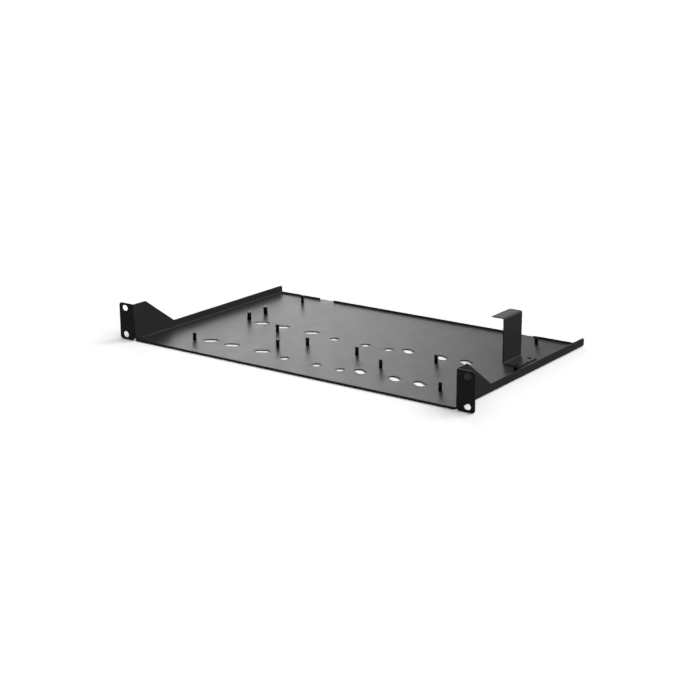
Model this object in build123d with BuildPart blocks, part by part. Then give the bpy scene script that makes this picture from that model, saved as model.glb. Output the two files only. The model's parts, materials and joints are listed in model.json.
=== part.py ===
"""One-unit rack shelf, folded from sheet steel, with locating pins and a hold-down bracket.

Frame: +X is the shelf's right seen from the front, +Y runs back into the rack, +Z is up. The origin is
at the middle of the base, level with the underside of the floor. Every sketch lies on one of three
planes that meet at the middle of the front edge, so places in Y are measured from the ears' front.
All sizes are in millimetres.
"""

from build123d import *
import math
import os

# Sheet and its bends
SHEET = 1.2
BEND_IN = 1.0
BEND_OUT = BEND_IN + SHEET

# Rack panel: the 19 inch width, one unit high less the running gap, and its four slots
PANEL_WIDTH = 482.6
PANEL_HEIGHT = 43.65
EAR_WIDTH = 21.3
EAR_CORNER = 3.5
EAR_FOOT_CUT = 1.0
RACK_SLOT_INSET = 8.75
RACK_PITCH_Z = 31.75
RACK_SLOT_LENGTH = 8.4
RACK_SLOT_HEIGHT = 6.8

# Tray body between the ears, from their front to the rear end of the side flanges
BODY_DEPTH = 278.4
WALL_TOP_LENGTH = 20.9
WALL_SLOPE_LENGTH = 47.5
FLANGE_HEIGHT = 10.0
FLANGE_END_RADIUS = 3.0

# Front edge folded back on the floor as a closed hem
HEM_DEPTH = 10.0
HEM_GAP = 0.2
RELIEF_DEPTH = 3.0

# Turned-up rear lip, broken by two flat tabs, both set in from the flanges' rear end
LIP_SETBACK = 3.5
LIP_RISE = 1.0
LIP_END_GAP = 1.3
LEFT_TAB_MIDDLE = 143.0
RIGHT_TAB_MIDDLE = 146.0
TAB_WIDTH = 20.5
TAB_SLIT = 0.6
TAB_SETBACK = 0.8

# Openings in the floor: two like rows of slanted slots and round holes
FLOOR_SLOT_LENGTH = 18.0
FLOOR_SLOT_WIDTH = 10.6
FLOOR_SLOT_ANGLE = 30.0
FLOOR_SLOT_FRONT = 49.1
FLOOR_SLOT_X = (68.2, 112.7, 144.4)
FLOOR_HOLE = 10.6
FLOOR_HOLE_FRONT = 41.7
FLOOR_HOLE_X = (-30.0, 14.6, 46.4)
ROW_PITCH = 94.4
ROWS = 2

# Locating pins pressed through the floor: the outer ones are placed from the nearer side wall, as inset
# and y, the rear pair from the rear lip, and the middle ones from the shelf's middle, as x and y
PIN_HEIGHT = 9.2
PIN_CHAMFER = 0.3
SLIM_PIN = 4.0
FRONT_LEFT_PIN = (56.8, 40.6)
FRONT_RIGHT_PIN = (44.3, 42.2)
REAR_LEFT_PIN_INSET = 54.8
REAR_RIGHT_PIN_INSET = 45.0
REAR_PIN_TO_LIP = 23.5
MIDDLE_PINS = (
    (-104.7, 123.6),
    (-63.6, 72.0),
    (-40.9, 98.3),
    (28.2, 99.0),
    (77.7, 74.1),
    (117.7, 124.0),
)
STOUT_PIN = 5.0
STOUT_LEFT_PINS = ((51.2, 147.7), (51.2, 179.3))
STOUT_RIGHT_PIN = (9.4, 139.1)

# Z-shaped hold-down bracket on the floor
BRACKET_SHEET = 1.2
BRACKET_BEND_IN = 1.0
BRACKET_TO_WALL = 36.4
BRACKET_FRONT = 159.0
BRACKET_WIDTH = 40.0
BRACKET_TOP = 54.0
BRACKET_ARM = 15.9
BRACKET_FOOT = 19.6
FOOT_HOLE = 5.6
FOOT_HOLE_PITCH = 30.0
FOOT_HOLE_EDGE = 5.8
FOOT_NOTCH_WIDTH = 3.0
FOOT_NOTCH_DEPTH = 2.0

os.makedirs("parts", exist_ok=True)

# Reference planes through the middle of the front edge
front_edge = (0, -BODY_DEPTH / 2, 0)
floor_plane = Plane(origin=front_edge, x_dir=(1, 0, 0), z_dir=(0, 0, 1))
front_plane = Plane(origin=front_edge, x_dir=(1, 0, 0), z_dir=(0, -1, 0))
side_plane = Plane(origin=front_edge, x_dir=(0, 1, 0), z_dir=(1, 0, 0))

# Places that follow from the sizes above
half_panel = PANEL_WIDTH / 2
half_body = half_panel - EAR_WIDTH
wall_inside = half_body - SHEET
bend_inside = half_body - BEND_OUT
hem_end = bend_inside - HEM_GAP
hem_height = 2 * SHEET
ear_start = half_body + BEND_IN
relief_height = max(hem_height, BEND_OUT)
flange_foot = WALL_TOP_LENGTH + WALL_SLOPE_LENGTH
lip_back = BODY_DEPTH - LIP_SETBACK
lip_front = lip_back - SHEET
lip_bend = lip_back - BEND_OUT
lip_top = BEND_OUT + LIP_RISE
lip_end = bend_inside - LIP_END_GAP
tab_back = BODY_DEPTH - TAB_SETBACK
tabs = [(middle - TAB_WIDTH / 2, middle + TAB_WIDTH / 2) for middle in (-LEFT_TAB_MIDDLE, RIGHT_TAB_MIDDLE)]
lip_lengths = [
    (-lip_end, tabs[0][0] - TAB_SLIT),
    (tabs[0][1] + TAB_SLIT, tabs[1][0] - TAB_SLIT),
    (tabs[1][1] + TAB_SLIT, lip_end),
]
mirrored = (-1, 1)

rear_pin_y = lip_front - REAR_PIN_TO_LIP
slim_pins = [
    (FRONT_LEFT_PIN[0] - wall_inside, FRONT_LEFT_PIN[1]),
    (wall_inside - FRONT_RIGHT_PIN[0], FRONT_RIGHT_PIN[1]),
    *MIDDLE_PINS,
    (REAR_LEFT_PIN_INSET - wall_inside, rear_pin_y),
    (wall_inside - REAR_RIGHT_PIN_INSET, rear_pin_y),
]
stout_pins = [(inset - wall_inside, y) for inset, y in STOUT_LEFT_PINS]
stout_pins.append((wall_inside - STOUT_RIGHT_PIN[0], STOUT_RIGHT_PIN[1]))


def wall_outline():
    """The side wall's outline on the side plane, from full height at the ear down to the low flange."""
    end_y = BODY_DEPTH - FLANGE_END_RADIUS
    end_z = FLANGE_HEIGHT - FLANGE_END_RADIUS
    with BuildLine() as outline:
        Polyline(
            (BODY_DEPTH, end_z),
            (BODY_DEPTH, 0),
            (BEND_OUT, 0),
            (BEND_OUT, PANEL_HEIGHT),
            (WALL_TOP_LENGTH, PANEL_HEIGHT),
            (flange_foot, FLANGE_HEIGHT),
            (end_y, FLANGE_HEIGHT),
        )
        CenterArc((end_y, end_z), FLANGE_END_RADIUS, 0, 90)
    return outline.edges()


def corner_bend(centre_x, centre_y, start):
    """A quarter of a sheet bend in plan: a ring sector about its centre, from the start angle on."""
    with BuildLine() as outline:
        CenterArc((centre_x, centre_y), BEND_OUT, start, 90)
        CenterArc((centre_x, centre_y), BEND_IN, start, 90)
        for angle in (start, start + 90):
            turn = math.radians(angle)
            Line(
                (centre_x + BEND_IN * math.cos(turn), centre_y + BEND_IN * math.sin(turn)),
                (centre_x + BEND_OUT * math.cos(turn), centre_y + BEND_OUT * math.sin(turn)),
            )
    return outline.edges()


def lip_profile():
    """The turned-up lip's section on the side plane, from the floor's edge to the lip's top."""
    with BuildLine() as outline:
        CenterArc((lip_bend, BEND_OUT), BEND_OUT, 270, 90)
        Polyline(
            (lip_back, BEND_OUT),
            (lip_back, lip_top),
            (lip_front, lip_top),
            (lip_front, BEND_OUT),
        )
        CenterArc((lip_bend, BEND_OUT), BEND_IN, 270, 90)
        Line((lip_bend, SHEET), (lip_bend, 0))
    return outline.edges()


# The tray: floor, walls, ears, hem and lip are one folded blank
with BuildPart() as shelf_tray:
    # Floor and walls as a channel section, then cut to the wall's outline
    with BuildSketch(front_plane.offset(-BEND_OUT)):
        with Locations((0, PANEL_HEIGHT)):
            RectangleRounded(2 * half_body, 2 * PANEL_HEIGHT, BEND_OUT)
        with Locations((0, PANEL_HEIGHT + SHEET)):
            RectangleRounded(2 * wall_inside, 2 * PANEL_HEIGHT, BEND_IN, mode=Mode.SUBTRACT)
    extrude(amount=-(BODY_DEPTH - BEND_OUT))
    with BuildSketch(side_plane):
        make_face(wall_outline())
    extrude(amount=half_body, both=True, mode=Mode.INTERSECT)

    # Ears, each joined to its wall by an upright bend
    for side in mirrored:
        with BuildSketch(floor_plane):
            make_face(corner_bend(side * ear_start, BEND_OUT, 180 if side > 0 else 270))
        extrude(amount=PANEL_HEIGHT)
        with BuildSketch(front_plane):
            with BuildLine():
                Polyline(
                    (side * ear_start, PANEL_HEIGHT),
                    (side * ear_start, 0),
                    (side * half_panel, 0),
                    (side * half_panel, PANEL_HEIGHT),
                    close=True,
                )
            ear = make_face()
            outer = ear.vertices().group_by(Axis.X)[-1 if side > 0 else 0]
            fillet(outer, EAR_CORNER)
        extrude(amount=-SHEET)

    # Front of the floor: the closed hem with its round nose
    with BuildSketch(side_plane):
        with BuildLine():
            Line((SHEET, 0), (HEM_DEPTH, 0))
            Line((HEM_DEPTH, 0), (HEM_DEPTH, hem_height))
            Line((HEM_DEPTH, hem_height), (SHEET, hem_height))
            CenterArc((SHEET, SHEET), SHEET, 90, 180)
        make_face()
    extrude(amount=hem_end, both=True)

    # Reliefs that free the floor bend from the ear bend at each front corner
    with BuildSketch(front_plane):
        for side in mirrored:
            with Locations((side * (hem_end + ear_start) / 2, relief_height / 2)):
                Rectangle(ear_start - hem_end, relief_height)
            with BuildLine():
                Polyline(
                    (side * ear_start, 0),
                    (side * (ear_start + EAR_FOOT_CUT), 0),
                    (side * ear_start, EAR_FOOT_CUT),
                    close=True,
                )
            make_face()
    extrude(amount=-RELIEF_DEPTH, mode=Mode.SUBTRACT)

    # Rear edge: the floor is trimmed back to the lip's bend and to the tabs
    with BuildSketch(floor_plane):
        with Locations((0, (lip_bend + BODY_DEPTH) / 2)):
            Rectangle(2 * bend_inside, BODY_DEPTH - lip_bend)
        for start, end in tabs:
            with Locations(((start + end) / 2, (lip_bend + tab_back) / 2)):
                Rectangle(end - start, tab_back - lip_bend, mode=Mode.SUBTRACT)
    extrude(amount=SHEET, mode=Mode.SUBTRACT)

    # Rear lip in three lengths, turned up from the floor
    for start, end in lip_lengths:
        with BuildSketch(side_plane.offset((start + end) / 2)):
            make_face(lip_profile())
        extrude(amount=(end - start) / 2, both=True)

    # Openings in the floor, in like rows
    with BuildSketch(floor_plane):
        for row in range(ROWS):
            for side in mirrored:
                slots = [(side * x, FLOOR_SLOT_FRONT + row * ROW_PITCH) for x in FLOOR_SLOT_X]
                with Locations(*slots):
                    SlotOverall(FLOOR_SLOT_LENGTH, FLOOR_SLOT_WIDTH, rotation=-side * FLOOR_SLOT_ANGLE)
            with Locations(*[(x, FLOOR_HOLE_FRONT + row * ROW_PITCH) for x in FLOOR_HOLE_X]):
                Circle(FLOOR_HOLE / 2)
    extrude(amount=SHEET, mode=Mode.SUBTRACT)

    # Seats of the locating pins
    with BuildSketch(floor_plane):
        with Locations(*slim_pins):
            Circle(SLIM_PIN / 2)
        with Locations(*stout_pins):
            Circle(STOUT_PIN / 2)
    extrude(amount=SHEET, mode=Mode.SUBTRACT)

    # Rack slots in the ears
    with BuildSketch(front_plane):
        with Locations((0, PANEL_HEIGHT / 2)):
            with GridLocations(PANEL_WIDTH - 2 * RACK_SLOT_INSET, RACK_PITCH_Z, 2, 2):
                SlotOverall(RACK_SLOT_LENGTH, RACK_SLOT_HEIGHT)
    extrude(amount=-SHEET, mode=Mode.SUBTRACT)

shelf_tray.part.label = "shelf_tray"
export_step(shelf_tray.part, "parts/shelf_tray.step")


# Locating pins: plain round pins, flush below and standing up from the floor
pins = [(place, SLIM_PIN) for place in slim_pins] + [(place, STOUT_PIN) for place in stout_pins]
for number, (place, diameter) in enumerate(pins, start=1):
    with BuildPart() as locating_pin:
        with BuildSketch(floor_plane):
            with Locations(place):
                Circle(diameter / 2)
        extrude(amount=SHEET + PIN_HEIGHT)
        chamfer(locating_pin.edges().group_by(Axis.Z)[-1], PIN_CHAMFER)
    locating_pin.part.label = f"locating_pin_{number:02d}"
    export_step(locating_pin.part, f"parts/locating_pin_{number:02d}.step")


# Hold-down bracket: foot to the right on the floor, arm to the left at the top
bracket_out = BRACKET_BEND_IN + BRACKET_SHEET
bracket_face_x = wall_inside - BRACKET_TO_WALL
bracket_back_x = bracket_face_x - BRACKET_SHEET
foot_end_x = bracket_face_x + BRACKET_FOOT
arm_end_x = bracket_face_x - BRACKET_ARM
foot_top = SHEET + BRACKET_SHEET
bracket_middle = BRACKET_FRONT + BRACKET_WIDTH / 2

with BuildPart() as hold_down_bracket:
    with BuildSketch(front_plane.offset(-BRACKET_FRONT)):
        with BuildLine():
            foot_under = Line((foot_end_x, SHEET), (bracket_back_x + bracket_out, SHEET))
            foot_outer = CenterArc(
                (bracket_back_x + bracket_out, SHEET + bracket_out), bracket_out, 270, -90
            )
            back = Line(foot_outer @ 1, (bracket_back_x, BRACKET_TOP - bracket_out))
            arm_inner = CenterArc(
                (bracket_back_x - BRACKET_BEND_IN, BRACKET_TOP - bracket_out), BRACKET_BEND_IN, 0, 90
            )
            arm_under = Line(arm_inner @ 1, (arm_end_x, BRACKET_TOP - BRACKET_SHEET))
            arm_end = Line(arm_under @ 1, (arm_end_x, BRACKET_TOP))
            arm_over = Line(arm_end @ 1, (bracket_back_x - BRACKET_BEND_IN, BRACKET_TOP))
            arm_outer = CenterArc(
                (bracket_back_x - BRACKET_BEND_IN, BRACKET_TOP - bracket_out), bracket_out, 90, -90
            )
            face = Line(arm_outer @ 1, (bracket_face_x, foot_top + BRACKET_BEND_IN))
            foot_inner = CenterArc(
                (bracket_face_x + BRACKET_BEND_IN, foot_top + BRACKET_BEND_IN), BRACKET_BEND_IN, 180, 90
            )
            foot_over = Line(foot_inner @ 1, (foot_end_x, foot_top))
            Line(foot_over @ 1, foot_under @ 0)
        make_face()
    extrude(amount=-BRACKET_WIDTH)

    # Two holes and a centring notch in the foot
    with BuildSketch(floor_plane.offset(SHEET)):
        with Locations((foot_end_x - FOOT_HOLE_EDGE, bracket_middle)):
            with GridLocations(0, FOOT_HOLE_PITCH, 1, 2):
                Circle(FOOT_HOLE / 2)
        with Locations((foot_end_x, bracket_middle)):
            SlotOverall(2 * FOOT_NOTCH_DEPTH, FOOT_NOTCH_WIDTH)
    extrude(amount=BRACKET_SHEET, mode=Mode.SUBTRACT)

hold_down_bracket.part.label = "hold_down_bracket"
export_step(hold_down_bracket.part, "parts/hold_down_bracket.step")
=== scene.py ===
"""Dresses the one-unit rack shelf: a folded black sheet tray, its locating pins and its hold-down bracket.

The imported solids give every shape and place. This script rounds the cut edges of the sheet as its coat
does, makes the turned pins, gives each piece its finish, and sets the light, floor and camera of the
photograph. Lengths are in metres.
"""

import json
import logging
import math
from dataclasses import dataclass, field
from enum import Enum

import bmesh
import bpy
from mathutils import Matrix, Vector

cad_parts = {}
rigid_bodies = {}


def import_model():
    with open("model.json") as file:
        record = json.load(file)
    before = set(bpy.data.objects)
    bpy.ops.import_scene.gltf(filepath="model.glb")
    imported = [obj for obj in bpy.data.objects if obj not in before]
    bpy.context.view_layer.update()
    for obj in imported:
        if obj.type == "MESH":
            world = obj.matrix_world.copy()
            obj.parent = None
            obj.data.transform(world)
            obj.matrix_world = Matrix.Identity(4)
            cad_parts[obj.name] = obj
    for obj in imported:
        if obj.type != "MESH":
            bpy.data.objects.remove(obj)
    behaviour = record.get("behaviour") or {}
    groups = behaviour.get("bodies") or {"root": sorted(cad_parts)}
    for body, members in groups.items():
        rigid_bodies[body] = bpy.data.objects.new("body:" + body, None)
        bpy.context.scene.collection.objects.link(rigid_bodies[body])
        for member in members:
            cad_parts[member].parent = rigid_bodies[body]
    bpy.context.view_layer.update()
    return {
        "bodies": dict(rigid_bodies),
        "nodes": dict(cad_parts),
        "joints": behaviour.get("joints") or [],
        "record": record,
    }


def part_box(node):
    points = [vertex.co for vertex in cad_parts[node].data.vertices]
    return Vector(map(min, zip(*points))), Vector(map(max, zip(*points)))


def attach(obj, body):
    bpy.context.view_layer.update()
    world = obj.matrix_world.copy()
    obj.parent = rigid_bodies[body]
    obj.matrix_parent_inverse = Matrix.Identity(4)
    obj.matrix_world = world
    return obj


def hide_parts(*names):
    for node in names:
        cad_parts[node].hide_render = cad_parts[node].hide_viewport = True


log = logging.getLogger("rack_shelf")

BODY = "root"
SHEET_SLOT = "black_coat"
PIN_SLOT = "pin_coat"
MM = 0.001


class PinGauge(Enum):
    """The two gauges of locating pin, each by its diameter in metres."""

    SLIM = 0.004
    STOUT = 0.005


def grey(value: float) -> tuple[float, float, float, float]:
    """One linear value as an opaque grey."""
    return (value, value, value, 1.0)


def node_with(tree: bpy.types.NodeTree, kind: str, **values: object) -> bpy.types.Node:
    """Adds a node and sets its properties and input defaults.

    Args:
        tree: The tree that gets the node.
        kind: The node's type name.
        **values: A property by its name, or an input by its name with spaces as underscores.

    Returns:
        The new node.
    """
    made = tree.nodes.new(kind)
    for name, value in values.items():
        if hasattr(made, name):
            setattr(made, name, value)
        else:
            made.inputs[name.replace("_", " ")].default_value = value
    return made


def combined(
    tree: bpy.types.NodeTree, operation: str, first: bpy.types.NodeSocket, second: bpy.types.NodeSocket
) -> bpy.types.NodeSocket:
    """Works out one value from two, in the tree.

    Args:
        tree: The tree that gets the node.
        operation: The Math node's operation.
        first: The first value's socket.
        second: The second value's socket.

    Returns:
        The result's socket.
    """
    made = node_with(tree, "ShaderNodeMath", operation=operation)
    tree.links.new(first, made.inputs[0])
    tree.links.new(second, made.inputs[1])
    return made.outputs[0]


def mapped(
    tree: bpy.types.NodeTree,
    value: bpy.types.NodeSocket,
    source: tuple[float, float],
    result: tuple[float, float] = (0.0, 1.0),
    interpolation: str = "LINEAR",
) -> bpy.types.NodeSocket:
    """Maps a value from one range onto another, in the tree.

    Args:
        tree: The tree that gets the node.
        value: The value's socket.
        source: The range that the value comes from.
        result: The range that it is mapped onto.
        interpolation: The Map Range node's interpolation.

    Returns:
        The mapped value's socket.
    """
    made = node_with(tree, "ShaderNodeMapRange", interpolation_type=interpolation)
    made.inputs["From Min"].default_value, made.inputs["From Max"].default_value = source
    made.inputs["To Min"].default_value, made.inputs["To Max"].default_value = result
    tree.links.new(value, made.inputs["Value"])
    return made.outputs["Result"]


def camera_sees(
    tree: bpy.types.NodeTree, seen: bpy.types.NodeSocket, lit: bpy.types.NodeSocket
) -> bpy.types.NodeSocket:
    """Gives the camera's own rays one shader and all other rays another.

    Args:
        tree: The tree that gets the nodes.
        seen: The shader that the camera sees.
        lit: The shader for the light and the reflections.

    Returns:
        The chosen shader's socket.
    """
    rays = node_with(tree, "ShaderNodeLightPath")
    choice = node_with(tree, "ShaderNodeMixShader")
    tree.links.new(rays.outputs["Is Camera Ray"], choice.inputs[0])
    tree.links.new(lit, choice.inputs[1])
    tree.links.new(seen, choice.inputs[2])
    return choice.outputs["Shader"]


@dataclass(frozen=True)
class Wander:
    """How a value wanders over the coat, as a noise on Object coordinates.

    Attributes:
        scale: The noise's turns in a metre.
        detail: How many finer turns are added.
        roughness: How much the finer turns count.
        span: The part of the noise that is spread between the value's limits.
    """

    scale: float
    detail: float
    roughness: float
    span: tuple[float, float] = (0.3, 0.7)

    def noise(self, tree: bpy.types.NodeTree, place: bpy.types.NodeSocket) -> bpy.types.NodeSocket:
        """Adds the noise to a tree.

        Args:
            tree: The tree that gets the node.
            place: The socket of the Object coordinates.

        Returns:
            The noise's socket.
        """
        made = node_with(tree, "ShaderNodeTexNoise", Scale=self.scale, Detail=self.detail)
        made.inputs["Roughness"].default_value = self.roughness
        tree.links.new(place, made.inputs["Vector"])
        return made.outputs["Fac"]

    def between(
        self, tree: bpy.types.NodeTree, place: bpy.types.NodeSocket, limits: tuple[float, float]
    ) -> bpy.types.NodeSocket:
        """Adds a value that wanders between two limits.

        Args:
            tree: The tree that gets the nodes.
            place: The socket of the Object coordinates.
            limits: The value's lower and upper limit.

        Returns:
            The value's socket.
        """
        return mapped(tree, self.noise(tree, place), self.span, limits)


@dataclass(frozen=True)
class PowderCoat:
    """A semi-gloss black coat on steel, with the faint texture that a baked powder leaves.

    Attributes:
        name: The material's name.
        tones: The coat's darker and lighter grey, as linear values.
        gloss: The lowest and highest roughness on the coat.
        index: The coat's refractive index.
        drift: How the grey wanders.
        cloud: How the roughness wanders.
        grain: The baked grain.
        relief: The height of the grain in the bump, in metres.
    """

    name: str
    tones: tuple[float, float] = (0.016, 0.019)
    gloss: tuple[float, float] = (0.45, 0.49)
    index: float = 1.5
    drift: Wander = Wander(scale=9.0, detail=3.0, roughness=0.55)
    cloud: Wander = Wander(scale=38.0, detail=4.0, roughness=0.6)
    grain: Wander = Wander(scale=1 / (1.1 * MM), detail=2.0, roughness=0.5)
    relief: float = 0.002 * MM

    def material(self) -> bpy.types.Material:
        """Builds the coat as a node material on Object coordinates.

        Returns:
            The material.
        """
        made = bpy.data.materials.new(self.name)
        made.use_nodes = True
        tree = made.node_tree
        tree.nodes.clear()
        place = node_with(tree, "ShaderNodeTexCoord").outputs["Object"]
        shader = node_with(tree, "ShaderNodeBsdfPrincipled", IOR=self.index)
        output = node_with(tree, "ShaderNodeOutputMaterial")
        tree.links.new(shader.outputs["BSDF"], output.inputs["Surface"])
        tree.links.new(self.drift.between(tree, place, self.tones), shader.inputs["Base Color"])
        tree.links.new(self.cloud.between(tree, place, self.gloss), shader.inputs["Roughness"])
        bump = node_with(tree, "ShaderNodeBump", Strength=1.0, Distance=self.relief)
        tree.links.new(self.grain.noise(tree, place), bump.inputs["Height"])
        tree.links.new(bump.outputs["Normal"], shader.inputs["Normal"])
        return made


def as_plain_mesh(piece: bpy.types.Object, name: str) -> bpy.types.Object:
    """Applies what a piece's modifiers make and leaves it as a plain mesh at the origin.

    Args:
        piece: The object with its modifiers.
        name: The name that the finished mesh gets.

    Returns:
        The same object, with no modifiers.
    """
    view = bpy.context.evaluated_depsgraph_get()
    view.update()
    made = bpy.data.meshes.new_from_object(piece.evaluated_get(view), depsgraph=view)
    made.name = name
    piece.modifiers.clear()
    piece.data = made
    return piece


@dataclass(frozen=True)
class SheetPiece:
    """A piece of bent sheet: the solid's own form, with its cut edges rounded by the coat.

    Attributes:
        node: The solid that the piece stands for.
        name: The piece's name.
        edge: The radius on a cut edge, in metres.
        edge_steps: The facets across that radius.
        sharp: The least angle that counts as an edge, in degrees.
        merge: The distance within which the solid's corners are one, in metres.
        flat: The angle within which neighbouring triangles are one face, in degrees.
        level: The least cosine to an axis at which a face is one of the sheet's flat faces.
    """

    node: str
    name: str
    edge: float = 0.18 * MM
    edge_steps: int = 2
    sharp: float = 40.0
    merge: float = 0.002 * MM
    flat: float = 0.4
    level: float = 0.99998

    def build(self, frame: dict, coat: bpy.types.Material, slot: str) -> bpy.types.Object:
        """Makes the piece from its solid and puts it in the solid's place.

        Args:
            frame: The loaded frame.
            coat: The finish.
            slot: The record's slot that the finish belongs to; not used.

        Returns:
            The finished piece.
        """
        piece = bpy.data.objects.new(self.name, self.clean_mesh(frame["nodes"][self.node]))
        bpy.context.scene.collection.objects.link(piece)
        piece.data.materials.clear()
        piece.data.materials.append(coat)
        rounding = piece.modifiers.new("coated edge", "BEVEL")
        rounding.width = self.edge
        rounding.segments = self.edge_steps
        rounding.limit_method = "ANGLE"
        rounding.angle_limit = math.radians(self.sharp)
        rounding.use_clamp_overlap = True
        finished = as_plain_mesh(piece, self.name)
        for face in finished.data.polygons:
            face.use_smooth = max(abs(value) for value in face.normal) < self.level
        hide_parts(self.node)
        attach(finished, BODY)
        log.info("%s: %d faces", finished.name, len(finished.data.polygons))
        return finished

    def clean_mesh(self, solid: bpy.types.Object) -> bpy.types.Mesh:
        """Copies a solid's loose triangles as one closed mesh with whole flat faces.

        Args:
            solid: The solid's object.

        Returns:
            The copy.
        """
        mesh = solid.data.copy()
        form = bmesh.new()
        form.from_mesh(mesh)
        bmesh.ops.remove_doubles(form, verts=form.verts, dist=self.merge)
        bmesh.ops.dissolve_limit(
            form,
            angle_limit=math.radians(self.flat),
            verts=form.verts,
            edges=form.edges,
        )
        form.to_mesh(mesh)
        form.free()
        return mesh


@dataclass
class PinSet:
    """The locating pins of one gauge, made as turned pins with a broken top edge.

    Attributes:
        gauge: The gauge of the set.
        name: The piece's name.
        edge: The width of the broken edge at the top, in metres.
        facets: The facets around a pin.
        slack: How far a solid's width may be from the gauge, in metres.
        weld: The distance within which a pin's corners are one, in metres.
        nodes: The solids that the set stands for, filled in by build.
    """

    gauge: PinGauge
    name: str
    edge: float = 0.3 * MM
    facets: int = 40
    slack: float = 0.1 * MM
    weld: float = 0.001 * MM
    nodes: list[str] = field(default_factory=list)

    def build(self, frame: dict, coat: bpy.types.Material, slot: str) -> bpy.types.Object:
        """Makes every pin of this gauge at its solid's place.

        Args:
            frame: The loaded frame.
            coat: The finish.
            slot: The record's slot that the finish belongs to; not used.

        Returns:
            The finished set, as one mesh.
        """
        feet = []
        height = 0.0
        for node in sorted(frame["nodes"]):
            if not node.startswith("locating_pin"):
                continue
            low, high = (Vector(corner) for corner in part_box(node))
            if abs(high.x - low.x - self.gauge.value) > self.slack:
                continue
            self.nodes.append(node)
            feet.append(((low.x + high.x) / 2, (low.y + high.y) / 2, low.z))
            height = high.z - low.z
        mesh = bpy.data.meshes.new(self.name)
        mesh.from_pydata(feet, [], [])
        piece = bpy.data.objects.new(self.name, mesh)
        bpy.context.scene.collection.objects.link(piece)
        turning = piece.modifiers.new("pins", "NODES")
        turning.node_group = self.tree()
        sizes = {
            "Radius": self.gauge.value / 2,
            "Height": height,
            "Edge": self.edge,
            "Facets": self.facets,
            "Coat": coat,
        }
        for item in turning.node_group.interface.items_tree:
            if item.name in sizes:
                turning[item.identifier] = sizes[item.name]
        finished = as_plain_mesh(piece, self.name)
        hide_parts(*self.nodes)
        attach(finished, BODY)
        log.info("%s: %d pins, %d faces", finished.name, len(feet), len(finished.data.polygons))
        return finished

    def tree(self) -> bpy.types.NodeTree:
        """Builds the Geometry Nodes tree that turns one pin and sets it at each point.

        Returns:
            The tree, with its sizes as named inputs.
        """
        tree = bpy.data.node_groups.new("turned pin", "GeometryNodeTree")
        for name, kind in (
            ("Feet", "NodeSocketGeometry"),
            ("Radius", "NodeSocketFloat"),
            ("Height", "NodeSocketFloat"),
            ("Edge", "NodeSocketFloat"),
            ("Facets", "NodeSocketInt"),
            ("Coat", "NodeSocketMaterial"),
        ):
            tree.interface.new_socket(name, in_out="INPUT", socket_type=kind)
        tree.interface.new_socket("Pins", in_out="OUTPUT", socket_type="NodeSocketGeometry")
        sizes = tree.nodes.new("NodeGroupInput").outputs
        result = tree.nodes.new("NodeGroupOutput")

        copies = node_with(tree, "GeometryNodeInstanceOnPoints")
        tree.links.new(sizes["Feet"], copies.inputs["Points"])
        tree.links.new(self.turned_pin(tree, sizes), copies.inputs["Instance"])
        solid = node_with(tree, "GeometryNodeRealizeInstances")
        tree.links.new(copies.outputs["Instances"], solid.inputs["Geometry"])
        coated = node_with(tree, "GeometryNodeSetMaterial")
        tree.links.new(solid.outputs["Geometry"], coated.inputs["Geometry"])
        tree.links.new(sizes["Coat"], coated.inputs["Material"])
        tree.links.new(coated.outputs["Geometry"], result.inputs["Pins"])
        return tree

    def turned_pin(
        self, tree: bpy.types.NodeTree, sizes: bpy.types.bpy_prop_collection
    ) -> bpy.types.NodeSocket:
        """Turns one closed pin that stands on the origin, in the tree.

        Args:
            tree: The tree that gets the nodes.
            sizes: The sockets of the tree's sizes.

        Returns:
            The pin's socket.
        """
        link = tree.links.new
        shoulder = combined(tree, "SUBTRACT", sizes["Height"], sizes["Edge"])
        crown = combined(tree, "SUBTRACT", sizes["Radius"], sizes["Edge"])

        shank = node_with(tree, "GeometryNodeMeshCone", fill_type="NONE")
        link(sizes["Facets"], shank.inputs["Vertices"])
        link(sizes["Radius"], shank.inputs["Radius Top"])
        link(sizes["Radius"], shank.inputs["Radius Bottom"])
        link(shoulder, shank.inputs["Depth"])
        broken = node_with(tree, "GeometryNodeMeshCone", fill_type="NONE")
        link(sizes["Facets"], broken.inputs["Vertices"])
        link(crown, broken.inputs["Radius Top"])
        link(sizes["Radius"], broken.inputs["Radius Bottom"])
        link(sizes["Edge"], broken.inputs["Depth"])
        top = node_with(tree, "GeometryNodeMeshCircle", fill_type="NGON")
        link(sizes["Facets"], top.inputs["Vertices"])
        link(crown, top.inputs["Radius"])
        foot = node_with(tree, "GeometryNodeMeshCircle", fill_type="NGON")
        link(sizes["Facets"], foot.inputs["Vertices"])
        link(sizes["Radius"], foot.inputs["Radius"])
        turned = node_with(tree, "GeometryNodeFlipFaces")
        link(foot.outputs["Mesh"], turned.inputs["Mesh"])

        shell = node_with(tree, "GeometryNodeJoinGeometry")
        link(self.lifted(tree, broken.outputs["Mesh"], shoulder), shell.inputs[0])
        link(shank.outputs["Mesh"], shell.inputs[0])
        rounds = node_with(tree, "GeometryNodeSetShadeSmooth")
        link(shell.outputs[0], rounds.inputs["Geometry"])
        closed = node_with(tree, "GeometryNodeJoinGeometry")
        link(rounds.outputs["Geometry"], closed.inputs[0])
        link(self.lifted(tree, top.outputs["Mesh"], sizes["Height"]), closed.inputs[0])
        link(turned.outputs["Mesh"], closed.inputs[0])
        welded = node_with(tree, "GeometryNodeMergeByDistance", Distance=self.weld)
        link(closed.outputs[0], welded.inputs["Geometry"])
        return welded.outputs["Geometry"]

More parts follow.
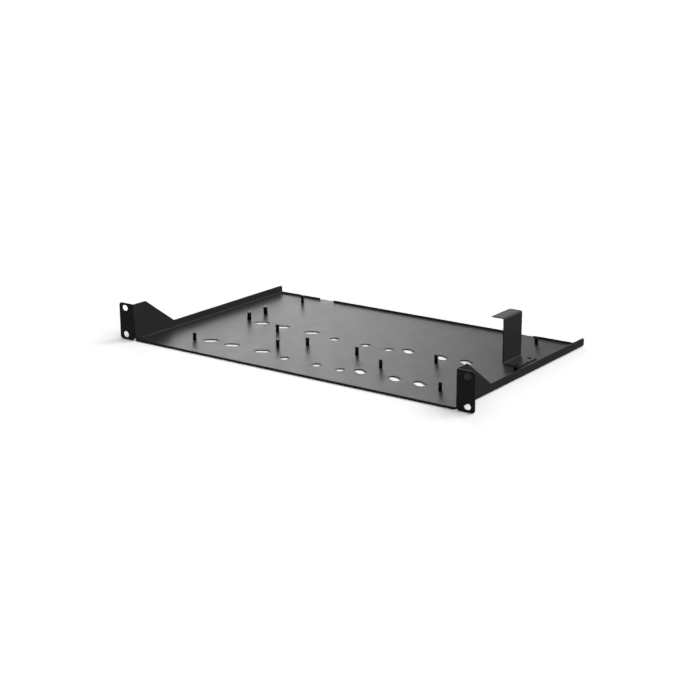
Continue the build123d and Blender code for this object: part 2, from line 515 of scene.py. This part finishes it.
    @staticmethod
    def lifted(
        tree: bpy.types.NodeTree, shape: bpy.types.NodeSocket, height: bpy.types.NodeSocket
    ) -> bpy.types.NodeSocket:
        """Raises a shape by a height, in the tree.

        Args:
            tree: The tree that gets the nodes.
            shape: The shape's socket.
            height: The height's socket.

        Returns:
            The raised shape's socket.
        """
        rise = node_with(tree, "ShaderNodeCombineXYZ")
        tree.links.new(height, rise.inputs["Z"])
        moved = node_with(tree, "GeometryNodeTransform")
        tree.links.new(shape, moved.inputs["Geometry"])
        tree.links.new(rise.outputs["Vector"], moved.inputs["Translation"])
        return moved.outputs["Geometry"]


@dataclass(frozen=True)
class Panel:
    """A soft round panel of light in the surround.

    Attributes:
        way: The direction of its middle.
        core: The angle from there to which it has its full level, in degrees.
        spread: The angle at which it has faded out, in degrees.
        level: Its full level.
    """

    way: tuple[float, float, float]
    core: float
    spread: float
    level: float

    def glow(self, tree: bpy.types.NodeTree, way: bpy.types.NodeSocket) -> bpy.types.NodeSocket:
        """Adds the panel's level in each direction, in the surround's tree.

        Args:
            tree: The surround's tree.
            way: The socket of the direction.

        Returns:
            The level's socket.
        """
        beside = node_with(tree, "ShaderNodeVectorMath", operation="DOT_PRODUCT")
        beside.inputs[1].default_value = Vector(self.way).normalized()
        tree.links.new(way, beside.inputs[0])
        fade = (math.cos(math.radians(self.spread)), math.cos(math.radians(self.core)))
        return mapped(tree, beside.outputs["Value"], fade, (0.0, self.level), "SMOOTHSTEP")


@dataclass(frozen=True)
class Surround:
    """The light around the shelf: a low band that is bright at the back on the left, and soft panels.

    Attributes:
        tone: The light's colour, as one linear value.
        levels: The band's level by bearing, in degrees from +Y towards -X, from -180 up.
        band_top: The Z of a direction at which the band begins to fade, and ends.
        above: What is left of the band's level above it.
        panels: The panels, which add to the band.
    """

    tone: float = 0.8
    levels: tuple[tuple[float, float], ...] = (
        (-180.0, 0.03),
        (-105.0, 0.05),
        (-80.0, 0.27),
        (20.0, 0.35),
        (28.0, 0.60),
        (32.0, 4.00),
        (36.0, 8.50),
        (39.0, 10.50),
        (43.0, 8.00),
        (50.0, 5.00),
        (62.0, 2.50),
        (84.0, 0.30),
        (105.0, 0.10),
        (180.0, 0.03),
    )
    band_top: tuple[float, float] = (0.18, 0.36)
    above: float = 0.15
    panels: tuple[Panel, ...] = (
        Panel((0.75, 0.20, 0.63), core=31.0, spread=53.0, level=1.4),
        Panel((0.20, 0.75, 0.63), core=12.0, spread=30.0, level=1.5),
        Panel((0.05, -0.90, 0.38), core=12.0, spread=52.0, level=0.3),
        Panel((-0.95, -0.15, 0.30), core=8.0, spread=36.0, level=0.3),
    )

    def build(self) -> None:
        """Makes the surround the scene's world, which the camera itself sees as white."""
        world = bpy.data.worlds.new("soft surround")
        bpy.context.scene.world = world
        world.use_nodes = True
        tree = world.node_tree
        tree.nodes.clear()
        way = node_with(tree, "ShaderNodeTexCoord").outputs["Generated"]
        total = self.band(tree, way)
        for panel in self.panels:
            total = combined(tree, "ADD", total, panel.glow(tree, way))
        light = node_with(tree, "ShaderNodeBackground", Color=grey(self.tone))
        tree.links.new(total, light.inputs["Strength"])
        white = node_with(tree, "ShaderNodeBackground", Color=grey(1.0))
        output = node_with(tree, "ShaderNodeOutputWorld")
        chosen = camera_sees(tree, white.outputs["Background"], light.outputs["Background"])
        tree.links.new(chosen, output.inputs["Surface"])

    def band(self, tree: bpy.types.NodeTree, way: bpy.types.NodeSocket) -> bpy.types.NodeSocket:
        """Adds the band's level in each direction.

        Args:
            tree: The surround's tree.
            way: The socket of the direction.

        Returns:
            The level's socket.
        """
        split = node_with(tree, "ShaderNodeSeparateXYZ")
        tree.links.new(way, split.inputs[0])
        leftward = node_with(tree, "ShaderNodeMath", operation="MULTIPLY")
        tree.links.new(split.outputs["X"], leftward.inputs[0])
        leftward.inputs[1].default_value = -1.0
        bearing = combined(tree, "ARCTAN2", leftward.outputs[0], split.outputs["Y"])
        around = node_with(tree, "ShaderNodeValToRGB")
        tree.links.new(mapped(tree, bearing, (-math.pi, math.pi)), around.inputs["Fac"])
        ramp = around.color_ramp
        while len(ramp.elements) < len(self.levels):
            ramp.elements.new(1.0)
        most = max(level for _, level in self.levels)
        for stop, (degrees, level) in zip(ramp.elements, self.levels):
            stop.position = degrees / 360 + 0.5
            stop.color = grey(level / most)
        height = mapped(tree, split.outputs["Z"], self.band_top, (most, most * self.above), "SMOOTHSTEP")
        return combined(tree, "MULTIPLY", around.outputs["Color"], height)


@dataclass(frozen=True)
class Ground:
    """The pale ground, which keeps the shelf's shadow.

    Attributes:
        side: The ground's side, in metres.
        drop: How far the ground lies below the shelf, in metres.
        tone: The ground's colour in the light and in reflections, as one linear value.
        gain: Its colour as the camera sees it, which clips its lit part to white.
    """

    side: float = 60.0
    drop: float = 0.3 * MM
    tone: float = 0.24
    gain: float = 1.72

    def build(self) -> None:
        """Lays the ground."""
        half = self.side / 2
        low = -self.drop
        mesh = bpy.data.meshes.new("ground")
        mesh.from_pydata(
            [(-half, -half, low), (half, -half, low), (half, half, low), (-half, half, low)],
            [],
            [(0, 1, 2, 3)],
        )
        mesh.materials.append(self.material())
        ground = bpy.data.objects.new("ground", mesh)
        bpy.context.scene.collection.objects.link(ground)

    def material(self) -> bpy.types.Material:
        """Builds the ground's pale, matt material.

        Returns:
            The material.
        """
        made = bpy.data.materials.new("pale ground")
        made.use_nodes = True
        tree = made.node_tree
        tree.nodes.clear()
        lit = node_with(tree, "ShaderNodeBsdfDiffuse", Color=grey(self.tone))
        seen = node_with(tree, "ShaderNodeBsdfDiffuse", Color=grey(self.gain))
        output = node_with(tree, "ShaderNodeOutputMaterial")
        tree.links.new(camera_sees(tree, seen.outputs["BSDF"], lit.outputs["BSDF"]), output.inputs["Surface"])
        return made


@dataclass(frozen=True)
class Viewpoint:
    """The camera at the photograph's viewing angle.

    Attributes:
        place: Where the lens is, in metres.
        target: A point on the view's middle line, in metres.
        roll: The turn about that line, in degrees.
        focal: The focal length, in millimetres.
        sensor: The sensor's width, in millimetres.
        shift: How far the lens is moved off the picture's middle, as parts of its width.
    """

    place: tuple[float, float, float] = (0.94859, -1.33772, 0.47517)
    target: tuple[float, float, float] = (-0.00701, -0.00604, -0.00282)
    roll: float = -0.239
    focal: float = 75.907
    sensor: float = 36.0
    shift: tuple[float, float] = (0.00126, -0.00569)

    def build(self) -> None:
        """Sets up the camera and makes it the scene's own."""
        lens = bpy.data.cameras.new("camera")
        lens.sensor_width = self.sensor
        lens.sensor_fit = "HORIZONTAL"
        lens.lens = self.focal
        lens.shift_x, lens.shift_y = self.shift
        camera = bpy.data.objects.new("camera", lens)
        bpy.context.scene.collection.objects.link(camera)
        forward = (Vector(self.target) - Vector(self.place)).normalized()
        right = forward.cross(Vector((0, 0, 1))).normalized()
        upright = right.cross(forward)
        turn = math.radians(self.roll)
        level = right * math.cos(turn) + upright * math.sin(turn)
        up = level.cross(forward)
        rows = Matrix((level, up, -forward)).transposed()
        camera.matrix_world = Matrix.Translation(self.place) @ rows.to_4x4()
        bpy.context.scene.camera = camera


def main() -> None:
    """Builds the shelf's pieces and the studio around them."""
    logging.basicConfig(level=logging.INFO, format="%(name)s: %(message)s")
    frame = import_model()
    sheet_coat = PowderCoat("black powder coat").material()
    pin_coat = PowderCoat("black pin coat", tones=(0.006, 0.007), gloss=(0.38, 0.42), index=1.33).material()
    SheetPiece("shelf_tray", "tray").build(frame, sheet_coat, SHEET_SLOT)
    SheetPiece("hold_down_bracket", "bracket").build(frame, sheet_coat, SHEET_SLOT)
    PinSet(PinGauge.SLIM, "slim_pins").build(frame, pin_coat, PIN_SLOT)
    PinSet(PinGauge.STOUT, "stout_pins").build(frame, pin_coat, PIN_SLOT)
    Ground().build()
    Surround().build()
    Viewpoint().build()
    bpy.context.scene.view_settings.view_transform = "Standard"


if __name__ == "__main__":
    main()
